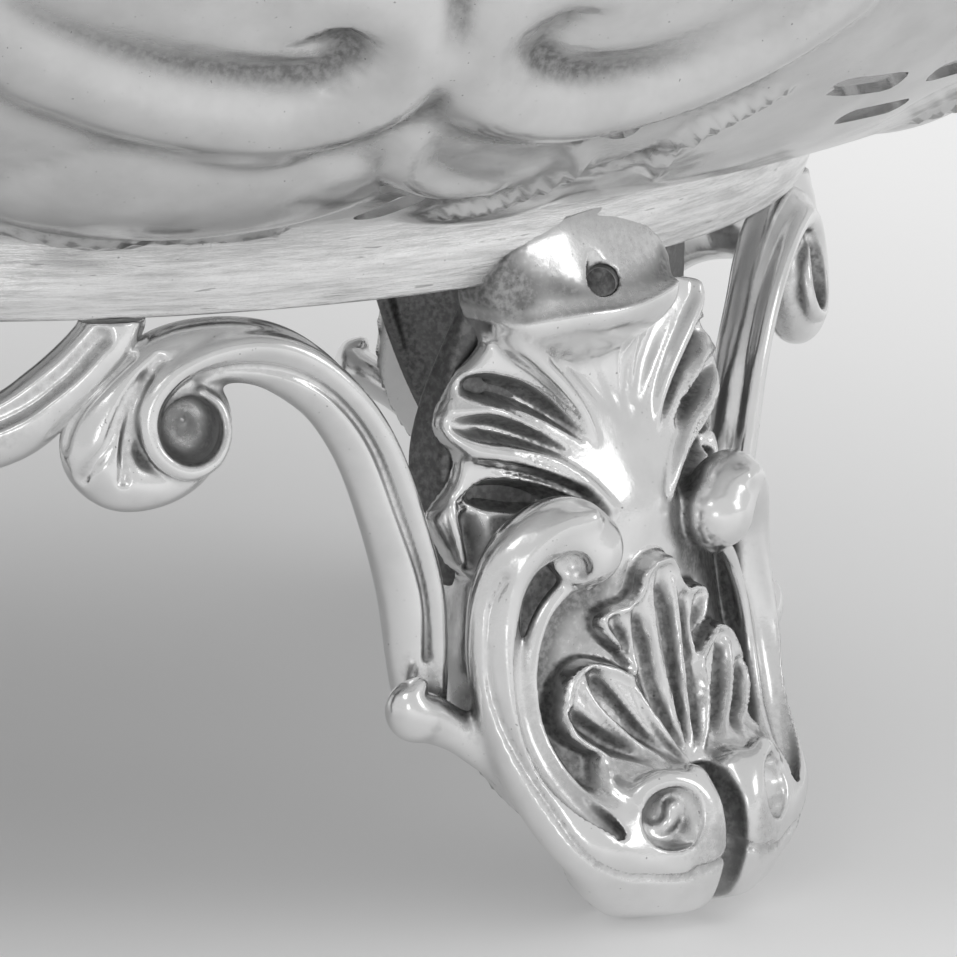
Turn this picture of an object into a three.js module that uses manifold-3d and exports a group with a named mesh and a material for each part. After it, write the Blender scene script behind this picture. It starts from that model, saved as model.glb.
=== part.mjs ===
// Silver table basket on four cast scroll-and-shell feet.
//
// A raised and pierced sheet bowl stands on a plain foot ring. Four cast feet carry the ring at
// its quarters, and eight cast link scrolls brace the feet to the ring and to each other. All
// joints are silver-soldered, with a seam of SOLDER_GAP drawn between neighbouring pieces.
//
// Millimetres, +Z up, origin on the table under the middle of the bowl.

import * as THREE from 'three';
import { mergeVertices } from 'three/addons/utils/BufferGeometryUtils.js';
import Module from 'manifold-3d';

// ------------------------------------------------------------------ driving dimensions

const SOLDER_GAP = 0.3;
const FEET = 4;

const STAND_HEIGHT = 62; // table to the underside of the foot ring
const RING_RADIUS = 81; // outside of the foot ring at its two edges
const RING_HEIGHT = 8;
const RING_WALL = 2.4;
const RING_BULGE = 0.9; // how far the middle of the band swells past its edges

const BOWL_SHEET = 1;
const FLOOR_SETBACK = 1; // the flat floor ends this far inside the ring's outside
const BOWL_RIM_RADIUS = 138;
const BOWL_DEPTH = 46; // underside of the floor to the edge of the sheet
const WALL_START = 20; // how far the wall runs on nearly level past the floor
const RIM_LEAN = 10; // how far the upper wall still leans out
const LOBES = 12; // waves of the shaped rim
const LOBE_DEPTH = 2.2;
const LOBE_START = 12; // height above the floor at which the wall begins to wave

const SLOT_LENGTH = 15;
const SLOT_WIDTH = 3.6;
const SLOT_RADIUS = 103; // from the bowl's axis to the middle of a slot
const SLOT_SPREAD = 6; // degrees from a slot to the middle of its pair
const SLOT_LEAN = 24; // degrees that a slot leans away from the radial line

const BORDER_WIDTH = 5;
const BORDER_HEIGHT = 3.4;

const TOE_REACH = 10.6; // furthest reach of a foot beyond the ring's outside
const HEEL_DEPTH = 11; // deepest reach of a foot inside it
const FRONT_THICKNESS = 4.5; // front casting of a foot, between its reliefs and the seam
const FOOT_HALF_WIDTH = 18.2;
const FOOT_CROWN = 0.021; // fall-back of the front face per square millimetre of width
const FLANK_FULLNESS = 0.25; // lower is squarer behind
const BUD_RADIUS = 2.7;

const SHELL_TIP_REACH = 19.6; // half-width of the shell over its widest tips
const SHELL_RIB = 3.6; // half-width of a shell rib at its tip

const SCROLL_RADIUS = 2.1; // thickness of the C-scrolls on a foot
const SCROLL_LIFT = 0.9; // how far a C-scroll's centre line stands off the front face
const BULB_RADIUS = 3.4; // upper curled end of a C-scroll
const TOE_RADIUS = 6.4; // volute at the toe
const TOE_SPREAD = 6; // from the middle of the foot to the middle of a toe volute
const TOE_DEPTH = 9;

const LEAF_LENGTH = 18;
const LEAF_RIB = 2.6;

const LINK_RADIUS = 2.4; // thickness of a link scroll
const LINK_ROOT = 4.5; // how far in a link scroll starts, on the foot's flank
const LINK_SETBACK = 1.2; // the link scrolls' centre lines run this far inside the ring's outside
const VOLUTE_EYE = 32; // degrees from the foot to the eye of a link scroll's volute
const VOLUTE_RADIUS = 7.3;
const VOLUTE_CLOSING = 325; // degrees of turn over which the volute would close on its eye
const VOLUTE_SWELL = 1.05;
const STEM_RADIUS = 2.3;
const STEM_SETBACK = 1; // and the stems this much further in

const SEGMENTS = 60; // facets around the bowl and the ring

// ------------------------------------------------------------------ helpers

const wasm = await Module();
wasm.setup();

const radians = THREE.MathUtils.degToRad;
const DEGREES_PER_RADIAN = THREE.MathUtils.RAD2DEG;

// Evenly spaced values, with both ends.
const shares = (count, from, to) =>
  Array.from({ length: count + 1 }, (_, i) => THREE.MathUtils.lerp(from, to, i / count));

// A closed mesh as a solid. Faces that point inwards are turned round first.
function toSolid(geometry) {
  const bare = geometry.clone();
  bare.deleteAttribute('normal');
  bare.deleteAttribute('uv');
  const merged = mergeVertices(bare, 1e-4);
  const points = merged.getAttribute('position');
  const corners = Array.from(merged.index.array);
  const [a, b, c] = [new THREE.Vector3(), new THREE.Vector3(), new THREE.Vector3()];
  const faces = [];
  let volume = 0;
  for (let i = 0; i < corners.length; i += 3) {
    const [p, q, r] = corners.slice(i, i + 3);
    if (p === q || q === r || r === p) continue;
    a.fromBufferAttribute(points, p);
    b.fromBufferAttribute(points, q);
    c.fromBufferAttribute(points, r);
    volume += a.dot(b.cross(c)) / 6;
    faces.push([p, q, r]);
  }
  const turned = volume < 0 ? faces.map(([p, q, r]) => [p, r, q]) : faces;
  return new wasm.Manifold(
    new wasm.Mesh({
      numProp: 3,
      vertProperties: new Float32Array(points.array),
      triVerts: new Uint32Array(turned.flat()),
    }),
  );
}

function toGeometry(solid) {
  const mesh = solid.getMesh();
  const geometry = new THREE.BufferGeometry();
  geometry.setAttribute('position', new THREE.BufferAttribute(mesh.vertProperties, 3));
  geometry.setIndex(new THREE.BufferAttribute(mesh.triVerts, 1));
  return geometry;
}

const join = (solids) => solids.reduce((sum, solid) => sum.add(solid));

// A loft through closed sections that all have the same number of points.
function loft(sections) {
  const sides = sections[0].length;
  const points = sections.flat();
  const index = [];
  for (let k = 0; k + 1 < sections.length; k += 1) {
    for (let i = 0; i < sides; i += 1) {
      const j = (i + 1) % sides;
      const [p, q] = [k * sides + i, k * sides + j];
      index.push(p, q, q + sides, p, q + sides, p + sides);
    }
  }
  const last = (sections.length - 1) * sides;
  for (let i = 1; i + 1 < sides; i += 1) {
    index.push(0, i + 1, i, last, last + i, last + i + 1);
  }
  const geometry = new THREE.BufferGeometry().setFromPoints(points);
  geometry.setIndex(index);
  return geometry;
}

// A bar along a curve. halfAt gives its half-width along the way, from 0 to 1, outwardAt the
// direction that its broad face looks in, and flatness its depth as a share of its width.
function bar(curve, outwardAt, halfAt, steps, sides, flatness = 1) {
  const sections = shares(steps, 0, 1).map((share) => {
    const centre = curve.getPointAt(share);
    const tangent = curve.getTangentAt(share);
    const across = tangent.clone().cross(outwardAt(centre)).normalize();
    const outward = across.clone().cross(tangent).normalize();
    const half = halfAt(share);
    return shares(sides, 0, 2 * Math.PI)
      .slice(1)
      .map((angle) =>
        centre
          .clone()
          .addScaledVector(across, half * Math.cos(angle))
          .addScaledVector(outward, half * flatness * Math.sin(angle)),
      );
  });
  return toSolid(loft(sections));
}

const FORWARD = new THREE.Vector3(0, 1, 0);
const forward = () => FORWARD;
const awayFromAxis = (point) => new THREE.Vector3(point.x, point.y, 0).normalize();

function box(width, depth, height, x, y, z) {
  return toSolid(new THREE.BoxGeometry(width, depth, height).translate(x, y, z));
}

const WIDE = 4 * BOWL_RIM_RADIUS; // larger than the whole basket, for trimming

// Everything above or below a height, to trim a piece flat.
const above = (height) => box(WIDE, WIDE, WIDE, 0, 0, height + WIDE / 2);
const below = (height) => box(WIDE, WIDE, WIDE, 0, 0, height - WIDE / 2);

// ------------------------------------------------------------------ bowl, rim border, foot ring

const BOWL_BASE = STAND_HEIGHT + RING_HEIGHT;
const BOWL_FLOOR_RADIUS = RING_RADIUS - FLOOR_SETBACK;

// The wall leaves the flat floor level and rises to a nearly upright rim.
const wallCurve = new THREE.CubicBezierCurve(
  new THREE.Vector2(BOWL_FLOOR_RADIUS, 0),
  new THREE.Vector2(BOWL_FLOOR_RADIUS + WALL_START, 0),
  new THREE.Vector2(BOWL_RIM_RADIUS - RIM_LEAN, 0.3 * BOWL_DEPTH),
  new THREE.Vector2(BOWL_RIM_RADIUS, BOWL_DEPTH),
);
const WALL_STEPS = 7;

function wallProfile(inset) {
  const profile = [];
  for (let k = 0; k <= WALL_STEPS; k += 1) {
    const point = wallCurve.getPoint(k / WALL_STEPS);
    const tangent = wallCurve.getTangent(k / WALL_STEPS);
    profile.push(new THREE.Vector2(point.x - tangent.y * inset, point.y + tangent.x * inset));
  }
  profile[0].y = inset;
  profile[WALL_STEPS].y = BOWL_DEPTH;
  return profile;
}

// The shaped rim: how far the wall stands out at an angle and a height above the floor.
function lobe(angle, height) {
  const share = THREE.MathUtils.smoothstep(height, LOBE_START, BOWL_DEPTH);
  return -LOBE_DEPTH * share * Math.cos(LOBES * angle);
}

function shapeByLobes(geometry) {
  const points = geometry.getAttribute('position');
  for (let i = 0; i < points.count; i += 1) {
    const [x, y, z] = [points.getX(i), points.getY(i), points.getZ(i)];
    const radius = Math.hypot(x, y);
    if (radius < BOWL_FLOOR_RADIUS / 2) continue;
    const scale = 1 + lobe(Math.atan2(y, x), z - BOWL_BASE) / radius;
    points.setXY(i, x * scale, y * scale);
  }
  return geometry;
}

function revolve(profile) {
  return new THREE.LatheGeometry(profile, SEGMENTS).rotateX(Math.PI / 2);
}

// A leaf-shaped slot: two arcs that meet in points.
function slotCutter(angle, lean) {
  const half = SLOT_LENGTH / 2;
  const outline = new THREE.Shape();
  outline.moveTo(-half, 0);
  outline.quadraticCurveTo(0, SLOT_WIDTH, half, 0);
  outline.quadraticCurveTo(0, -SLOT_WIDTH, -half, 0);
  const geometry = new THREE.ExtrudeGeometry(outline, {
    depth: BOWL_DEPTH,
    bevelEnabled: false,
    curveSegments: 3,
  });
  geometry.rotateZ(lean).translate(SLOT_RADIUS, 0, BOWL_BASE - BOWL_DEPTH / 4).rotateZ(angle);
  return toSolid(geometry);
}

function makeBowl() {
  const outside = wallProfile(0);
  const inside = wallProfile(BOWL_SHEET).reverse();
  const profile = [new THREE.Vector2(0, 0), ...outside, ...inside, new THREE.Vector2(0, BOWL_SHEET)];
  const shell = revolve(profile).translate(0, 0, BOWL_BASE);
  let bowl = toSolid(shapeByLobes(shell));
  const slots = [];
  for (let k = 0; k < LOBES; k += 1) {
    const middle = (2 * Math.PI * k) / LOBES;
    for (const side of [-1, 1]) {
      slots.push(slotCutter(middle + side * radians(SLOT_SPREAD), side * radians(SLOT_LEAN)));
    }
  }
  for (const slot of slots) bowl = bowl.subtract(slot);
  return bowl;
}

// One quarter of the cast border that is soldered on the edge of the sheet.
function makeBorderQuarter() {
  const steps = SEGMENTS / FEET;
  const middle = BOWL_RIM_RADIUS - BOWL_SHEET / 2;
  const ends = SOLDER_GAP / 2 / middle;
  const base = BOWL_BASE + BOWL_DEPTH + SOLDER_GAP;
  const half = BORDER_WIDTH / 2;
  const outline = [
    [-0.76 * half, 0],
    [0.76 * half, 0],
    [half, 0.35 * BORDER_HEIGHT],
    [0.55 * half, 0.85 * BORDER_HEIGHT],
    [0, BORDER_HEIGHT],
    [-0.55 * half, 0.85 * BORDER_HEIGHT],
    [-half, 0.35 * BORDER_HEIGHT],
  ];
  const sections = [];
  for (let k = 0; k <= steps; k += 1) {
    const share = k / steps;
    const angle = THREE.MathUtils.lerp(ends, Math.PI / 2 - ends, share);
    const radius = middle + lobe(angle, BOWL_DEPTH);
    sections.push(
      outline.map(([out, up]) => {
        const reach = radius + out;
        return new THREE.Vector3(reach * Math.cos(angle), reach * Math.sin(angle), base + up);
      }),
    );
  }
  return toSolid(loft(sections));
}

function makeRing() {
  const inner = RING_RADIUS - RING_WALL;
  const band = new THREE.Vector2(RING_RADIUS + RING_BULGE, RING_HEIGHT / 2);
  const profile = [
    new THREE.Vector2(inner, 0),
    new THREE.Vector2(RING_RADIUS, 0),
    band,
    new THREE.Vector2(RING_RADIUS, RING_HEIGHT),
    new THREE.Vector2(inner, RING_HEIGHT),
    new THREE.Vector2(inner, 0),
  ];
  return toSolid(revolve(profile).translate(0, 0, STAND_HEIGHT));
}

// ------------------------------------------------------------------ feet
//
// A foot is drawn standing at +Y: X runs across it, Y outwards and Z up. Its front face is a
// profile, given as shares of the stand height and of the toe's reach, crowned across.

const frontProfile = new THREE.SplineCurve([
  new THREE.Vector2(0, 0.75),
  new THREE.Vector2(0.1, 1),
  new THREE.Vector2(0.23, 0.85),
  new THREE.Vector2(0.36, 0.62),
  new THREE.Vector2(0.52, 0.42),
  new THREE.Vector2(0.7, 0.32),
  new THREE.Vector2(0.86, 0.33),
  new THREE.Vector2(1, 0.43),
]);
const PROFILE_SAMPLES = frontProfile.getPoints(60);

function frontReach(height) {
  const share = THREE.MathUtils.clamp(height / STAND_HEIGHT, 0, 1);
  const next = PROFILE_SAMPLES.findIndex((point, i) => i > 0 && point.x >= share);
  const [low, high] = [PROFILE_SAMPLES[next - 1], PROFILE_SAMPLES[next]];
  const blend = (share - low.x) / (high.x - low.x);
  return TOE_REACH * THREE.MathUtils.lerp(low.y, high.y, blend);
}

// The front face at a place across and up the foot. The toe is nearly straight across.
function frontAt(across, height) {
  const crown = FOOT_CROWN * THREE.MathUtils.smoothstep(height, 0.05 * STAND_HEIGHT, 0.45 * STAND_HEIGHT);
  return RING_RADIUS + frontReach(height) - crown * across * across;
}

const onFront = (across, height, lift) => new THREE.Vector3(across, frontAt(across, height) + lift, height);

// The outline of the front casting, from the toe to the ring, as shares of the stand height and of
// the half-width: a narrow toe, full knees, then the scalloped edge of the shell.
const OUTLINE = [
  [0, 0.42],
  [0.03, 0.6],
  [0.12, 0.84],
  [0.3, 1.04],
  [0.42, 1.03],
  [0.53, 0.97],
  [0.57, 1.1],
  [0.61, 1.06],
  [0.66, 1.18],
  [0.725, 1.08],
  [0.79, 1.19],
  [0.86, 0.98],
  [0.93, 0.88],
  [1, 0.8],
];

function interpolate(table, share) {
  const next = Math.max(1, table.findIndex(([up], i) => i > 0 && up >= share));
  const [[low, from], [high, to]] = [table[next - 1], table[next]];
  return THREE.MathUtils.mapLinear(share, low, high, from, to);
}

// A slab between two offsets from the front face, in sections up the foot.
function slab(levels, halfAt, outer, inner, columns) {
  const sections = levels.map((share) => {
    const height = share * STAND_HEIGHT;
    const half = halfAt(share);
    return [
      ...shares(columns, half, -half).map((across) => onFront(across, height, outer)),
      ...shares(columns, -half, half).map((across) => onFront(across, height, inner)),
    ];
  });
  return toSolid(loft(sections));
}

// Everything in front of the seam between the two castings, moved out by an offset.
function frontOfSeam(offset) {
  return slab(shares(6, -0.1, 1.1), () => 2 * FOOT_HALF_WIDTH, WIDE / 4, offset - FRONT_THICKNESS, 4);
}

// A rib that lies on the front face and points away from a hub, with a rounded tip.
const RIB_START = 0.34; // share of the way from the hub at which a rib stands clear of the others

function faceRib(hub, tip, half, lift, flatness) {
  const along = (share) =>
    onFront(THREE.MathUtils.lerp(hub[0], tip[0], share), THREE.MathUtils.lerp(hub[1], tip[1], share), lift);
  const curve = new THREE.QuadraticBezierCurve3(along(RIB_START), along(0.7), along(1));
  const halfAt = (share) => half * (0.45 + 1.9 * share * (1.2 - share));
  return bar(curve, forward, halfAt, 2, 4, flatness);
}

// The shell: ribs fan out from a hub on the front face to scalloped tips, given as shares of the
// shell's reach and of the stand height.
const SHELL_HUB = 0.68;
const SHELL_TIPS = [
  [0.72, 0.935],
  [0.99, 0.8],
  [1, 0.67],
  [0.9, 0.57],
];

function makeShell() {
  const ribs = [];
  for (const side of [-1, 1]) {
    for (const [across, up] of SHELL_TIPS) {
      const tip = [side * across * SHELL_TIP_REACH, up * STAND_HEIGHT];
      ribs.push(faceRib([0, SHELL_HUB * STAND_HEIGHT], tip, SHELL_RIB, 0, 0.5));
    }
  }
  return join(ribs);
}

// The leaf that grows up from the toe between the C-scrolls.
const LEAF_ROOT = 0.25;
const LEAF_LEANS = [-66, -34, 0, 34, 66];

function makeLeaf() {
  const root = LEAF_ROOT * STAND_HEIGHT;
  const ribs = LEAF_LEANS.map((lean) => {
    const length = LEAF_LENGTH * (1 - 0.25 * Math.abs(Math.sin(radians(lean))));
    const tip = [length * Math.sin(radians(lean)), root + length * Math.cos(radians(lean))];
    return faceRib([0, root], tip, LEAF_RIB, 0.6, 0.7);
  });
  return join(ribs);
}

// Centre line of a C-scroll, as places across (in half-widths) and up (in stand heights).
const SCROLL_LINE = [
  [0.56, 0.585],
  [0.68, 0.64],
  [0.86, 0.61],
  [0.96, 0.52],
  [0.98, 0.4],
  [0.88, 0.25],
  [0.7, 0.165],
  [0.45, 0.12],
];

function makeFaceScroll(side) {
  const along = ([across, up]) => onFront(side * across * FOOT_HALF_WIDTH, up * STAND_HEIGHT, SCROLL_LIFT);
  const curve = new THREE.CatmullRomCurve3(SCROLL_LINE.map(along));
  const band = bar(curve, forward, (share) => SCROLL_RADIUS * (0.9 + 0.4 * share), 9, 4);
  const bulb = new THREE.SphereGeometry(BULB_RADIUS, 6, 4);
  const seat = along(SCROLL_LINE[0]);
  return band.add(toSolid(bulb.translate(seat.x, seat.y, seat.z)));
}

// A toe volute: a rounded drum with a dished face, turned to look outwards.
function makeToeVolute(side) {
  const half = TOE_DEPTH / 2;
  const profile = [
    new THREE.Vector2(0, -half),
    new THREE.Vector2(0.85 * TOE_RADIUS, -half),
    new THREE.Vector2(TOE_RADIUS, 0),
    new THREE.Vector2(0.8 * TOE_RADIUS, half),
    new THREE.Vector2(0.45 * TOE_RADIUS, half),
    new THREE.Vector2(0, 0.7 * half),
  ];
  const drum = new THREE.LatheGeometry(profile, 8);
  const reach = frontAt(side * TOE_SPREAD, TOE_RADIUS);
  return toSolid(drum.translate(side * TOE_SPREAD, reach - half + SCROLL_RADIUS / 2, TOE_RADIUS));
}

// The front casting's outline as a slab. grow widens it.
function frontSlab(outer, inner, grow) {
  const halfAt = (share) => FOOT_HALF_WIDTH * interpolate(OUTLINE, share) + grow;
  return slab(
    OUTLINE.map(([up]) => up),
    halfAt,
    outer,
    inner,
    4,
  );
}

function makeFootFront() {
  const body = frontSlab(0, -2 * FRONT_THICKNESS, 0);
  const parts = [body, makeShell(), makeLeaf()];
  for (const side of [-1, 1]) parts.push(makeFaceScroll(side), makeToeVolute(side));
  return join(parts)
    .intersect(frontOfSeam(0))
    .subtract(below(0))
    .subtract(above(STAND_HEIGHT - SOLDER_GAP));
}

// The back casting: flanks behind the front face that spread to the ring, a heel that leans out
// to the toe, and a curled bud on each side. Each row is a share of the stand height, a share of
// the half-width, and how far in the heel lies, as a share of its depth. grow thickens the
// casting, to cut back what is soldered to it.
const FLANK = [
  [0.04, 0.55, -0.27],
  [0.12, 0.78, -0.09],
  [0.25, 0.96, 0.45],
  [0.45, 1, 0.82],
  [0.65, 1.02, 1],
  [0.82, 1.02, 0.95],
  [1, 1.04, 0.55],
];
const BUD_LINE = [
  [0.6, 0.2, -0.05],
  [0.98, 0.27, 0.12],
  [1.28, 0.37, 0.28],
];

function makeFootBack(grow) {
  const top = STAND_HEIGHT - SOLDER_GAP;
  const sections = FLANK.map(([share, wide, deep]) => {
    const height = Math.min(share * STAND_HEIGHT, top);
    const half = FOOT_HALF_WIDTH * wide + grow;
    const heel = RING_RADIUS - deep * HEEL_DEPTH - grow;
    return shares(6, 0, Math.PI).map((turn) => {
      const across = Math.cos(turn) * half;
      const depth = frontAt(across, height) - heel;
      return new THREE.Vector3(across, heel + depth * (1 - Math.sin(turn) ** FLANK_FULLNESS), height);
    });
  });
  const body = toSolid(loft(sections));
  const buds = [-1, 1].map((side) => {
    const at = ([across, up, deep]) =>
      new THREE.Vector3(side * across * FOOT_HALF_WIDTH, RING_RADIUS - deep * HEEL_DEPTH, up * STAND_HEIGHT);
    const curve = new THREE.CatmullRomCurve3(BUD_LINE.map(at));
    const halfAt = (share) => (share < 1 ? BUD_RADIUS * (0.7 + 0.45 * share) : 0.6 * BUD_RADIUS) + grow;
    return bar(curve, forward, halfAt, 4, 6);
  });
  return join([body, ...buds]).subtract(frontOfSeam(-SOLDER_GAP));
}

// ------------------------------------------------------------------ link scrolls
//
// Drawn beside the same foot, on the drum under the ring. Angles are degrees from the foot.

const LINK_TRACK = RING_RADIUS - LINK_SETBACK;

function onDrum(degrees, height, lift = 0) {
  const reach = LINK_TRACK + lift;
  return new THREE.Vector3(reach * Math.sin(radians(degrees)), reach * Math.cos(radians(degrees)), height);
}

const LINK_TOP = STAND_HEIGHT - SOLDER_GAP - LINK_RADIUS;

// An arch from the foot's flank up to the ring, that curls under into a swollen volute.
function makeArch(grow) {
  const eyeHeight = LINK_TOP - VOLUTE_RADIUS;
  const leg = [
    [0.29, 0.38, 1],
    [0.44, 0.5, 0.67],
    [0.54, 0.64, 0.22],
    [0.66, 0.79, 0],
    [0.82, 0.93, 0],
  ].map(([turn, up, deep]) => onDrum(turn * VOLUTE_EYE, up * LINK_TOP, -deep * LINK_ROOT));
  const curl = [90, 45, 0, -45, -90, -135, -180, -215].map((angle) => {
    const radius = VOLUTE_RADIUS * Math.min(1, 1 + angle / VOLUTE_CLOSING);
    const turn = VOLUTE_EYE + (DEGREES_PER_RADIAN * radius * Math.cos(radians(angle))) / LINK_TRACK;
    return onDrum(turn, eyeHeight + radius * Math.sin(radians(angle)));
  });
  const curve = new THREE.CatmullRomCurve3([...leg, ...curl]);
  const halfAt = (share) => {
    const swell = VOLUTE_SWELL * Math.exp(-(((share - 0.75) / 0.12) ** 2));
    const taper = 1 - 0.5 * THREE.MathUtils.smoothstep(share, 0.85, 1);
    return LINK_RADIUS * (0.85 + swell) * taper + grow;
  };
  return bar(curve, awayFromAxis, halfAt, 18, 6, 0.9);
}

// A plain stem that rises from the next foot in one long S and meets the ring beside the volute.
function makeStem() {
  const next = 360 / FEET;
  const line = [
    [next - 0.29 * VOLUTE_EYE, 0.54, 0.1 * LINK_ROOT],
    [next - 0.44 * VOLUTE_EYE, 0.65, -0.3 * LINK_ROOT],
    [next - 0.64 * VOLUTE_EYE, 0.76, -STEM_SETBACK],
    [next - 1.0 * VOLUTE_EYE, 0.83, -STEM_SETBACK],
    [1.5 * VOLUTE_EYE, 0.88, -STEM_SETBACK],
    [1.3 * VOLUTE_EYE, 1.01, -STEM_SETBACK],
  ];
  const curve = new THREE.CatmullRomCurve3(line.map(([turn, up, lift]) => onDrum(turn, up * LINK_TOP, lift)));
  return bar(curve, awayFromAxis, () => STEM_RADIUS, 12, 6);
}

// A link scroll is cut level under the ring, and cut back from what it is soldered to.
const trimLink = (link, room) => link.subtract(above(STAND_HEIGHT - SOLDER_GAP)).subtract(room);

// ------------------------------------------------------------------ assembly

const silver = (name, colour, roughness) =>
  new THREE.MeshStandardMaterial({ name, color: colour, roughness, metalness: 1 });
const POLISHED = [0xdcdcda, 0.16];
const CAST = [0xc9c9c7, 0.28];
const SHADED = [0x9a9a98, 0.45];

const basket = new THREE.Group();
basket.name = 'footed_basket';

function addPiece(name, solid, [colour, roughness], turn = 0, mirror = false) {
  const geometry = toGeometry(solid);
  const mesh = new THREE.Mesh(geometry, silver(`${name}_silver`, colour, roughness));
  mesh.name = name;
  mesh.rotation.z = turn;
  if (mirror) mesh.scale.x = -1;
  basket.add(mesh);
}

addPiece('bowl', makeBowl(), POLISHED);
addPiece('foot_ring', makeRing(), POLISHED);

const border = makeBorderQuarter();
const footFront = makeFootFront();
const footBack = makeFootBack(0);
const footBackGrown = makeFootBack(SOLDER_GAP);
const footRoom = footBackGrown.add(frontSlab(WIDE / 4, -FRONT_THICKNESS - 1, SOLDER_GAP));
const nextFootRoom = footRoom.rotate([0, 0, -360 / FEET]);
const arch = trimLink(makeArch(0), footRoom);
const stem = trimLink(makeStem(), nextFootRoom.add(makeArch(SOLDER_GAP)));

for (let k = 0; k < FEET; k += 1) {
  const turn = (2 * Math.PI * k) / FEET;
  addPiece(`rim_border_${k + 1}`, border, POLISHED, turn);
  addPiece(`foot_front_${k + 1}`, footFront, CAST, turn);
  addPiece(`foot_back_${k + 1}`, footBack, SHADED, turn);
}

// Arches spring from two opposite feet, and stems from the two feet between them.
for (const end of [0, 1]) {
  for (const mirror of [false, true]) {
    const count = 2 * end + (mirror ? 2 : 1);
    addPiece(`link_scroll_${count}`, arch, CAST, end * Math.PI, mirror);
    addPiece(`link_stem_${count}`, stem, CAST, end * Math.PI, mirror);
  }
}

export default basket;
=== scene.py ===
"""Silver table basket on four cast scroll-and-shell feet: its looks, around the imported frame.

Everything that is sculpted here is drawn in millimetres and in a foot's own place: x across the
foot, y outwards from the bowl's axis and z up from the table, for the foot that stands at +Y.
"""

import math

import bpy
import numpy as np
import openvdb
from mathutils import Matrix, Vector


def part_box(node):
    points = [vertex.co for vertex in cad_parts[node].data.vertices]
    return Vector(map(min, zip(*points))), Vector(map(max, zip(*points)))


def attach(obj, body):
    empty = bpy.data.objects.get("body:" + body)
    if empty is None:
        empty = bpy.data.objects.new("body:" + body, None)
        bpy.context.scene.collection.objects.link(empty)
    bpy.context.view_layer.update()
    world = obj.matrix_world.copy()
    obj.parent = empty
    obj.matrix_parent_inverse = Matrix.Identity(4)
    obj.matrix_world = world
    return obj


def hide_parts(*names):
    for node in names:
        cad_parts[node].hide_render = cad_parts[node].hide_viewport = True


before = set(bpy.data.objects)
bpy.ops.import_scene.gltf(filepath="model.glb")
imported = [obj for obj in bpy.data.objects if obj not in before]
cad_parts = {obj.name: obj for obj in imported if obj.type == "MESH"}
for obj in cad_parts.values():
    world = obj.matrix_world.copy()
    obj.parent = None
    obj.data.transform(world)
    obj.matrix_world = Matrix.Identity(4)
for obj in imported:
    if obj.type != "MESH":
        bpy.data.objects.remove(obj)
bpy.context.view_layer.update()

# ------ sizes from the frame

MM = 0.001
RING_LOW, RING_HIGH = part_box("foot_ring")
STAND = RING_LOW[2] / MM  # table to the underside of the ring
RING_TOP = RING_HIGH[2] / MM
RING_MIDDLE = RING_HIGH[0] / MM  # radius of the ring at the swell of its band
RING_SWELL = 0.9
RING = RING_MIDDLE - RING_SWELL  # radius of the ring at its edges
RING_WALL = 2.4
BOWL_LOW, BOWL_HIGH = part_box("bowl")
BOWL_BASE = BOWL_LOW[2] / MM
SHEET_TOP = BOWL_HIGH[2] / MM
FEET = 4

# ------ modelling clay
#
# The castings are sculpted as signed distances on a block of voxels, in millimetres, negative in
# the metal. A skin is then drawn through the zero level.

FAR = 6.0
PITCH = 0.25


def smooth_step(value, low, high):
    share = np.clip((value - low) / (high - low), 0, 1)
    return share * share * (3 - 2 * share)


def blend_min(a, b, radius):
    """The lesser of two distances, with a fillet of about that radius."""
    if radius <= 0:
        return np.minimum(a, b)
    overlap = np.clip(radius - np.abs(a - b), 0, None) / radius
    return np.minimum(a, b) - overlap * overlap * radius / 4


def blend_max(a, b, radius):
    return -blend_min(-a, -b, radius)


def smooth_path(points, count):
    """Evenly counted samples of a Catmull-Rom curve through the points (any number of columns)."""
    points = np.asarray(points, float)
    padded = np.vstack([2 * points[0] - points[1], points, 2 * points[-1] - points[-2]])
    place = np.linspace(0, len(points) - 1, count)
    span = np.minimum(place.astype(int), len(points) - 2)
    share = (place - span)[:, None]
    a, b, c, d = (padded[span + k] for k in range(4))
    return 0.5 * (
        2 * b
        + (c - a) * share
        + (2 * a - 5 * b + 4 * c - d) * share**2
        + (3 * b - a - 3 * c + d) * share**3
    )


def reach_segment(offsets, step):
    """The nearest share of a segment and the gap to it, for offsets from its start."""
    share = np.clip(sum(o * s for o, s in zip(offsets, step)) / max(step @ step, 1e-9), 0, 1)
    return share, np.sqrt(sum((o - share * s) ** 2 for o, s in zip(offsets, step)))


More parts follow.
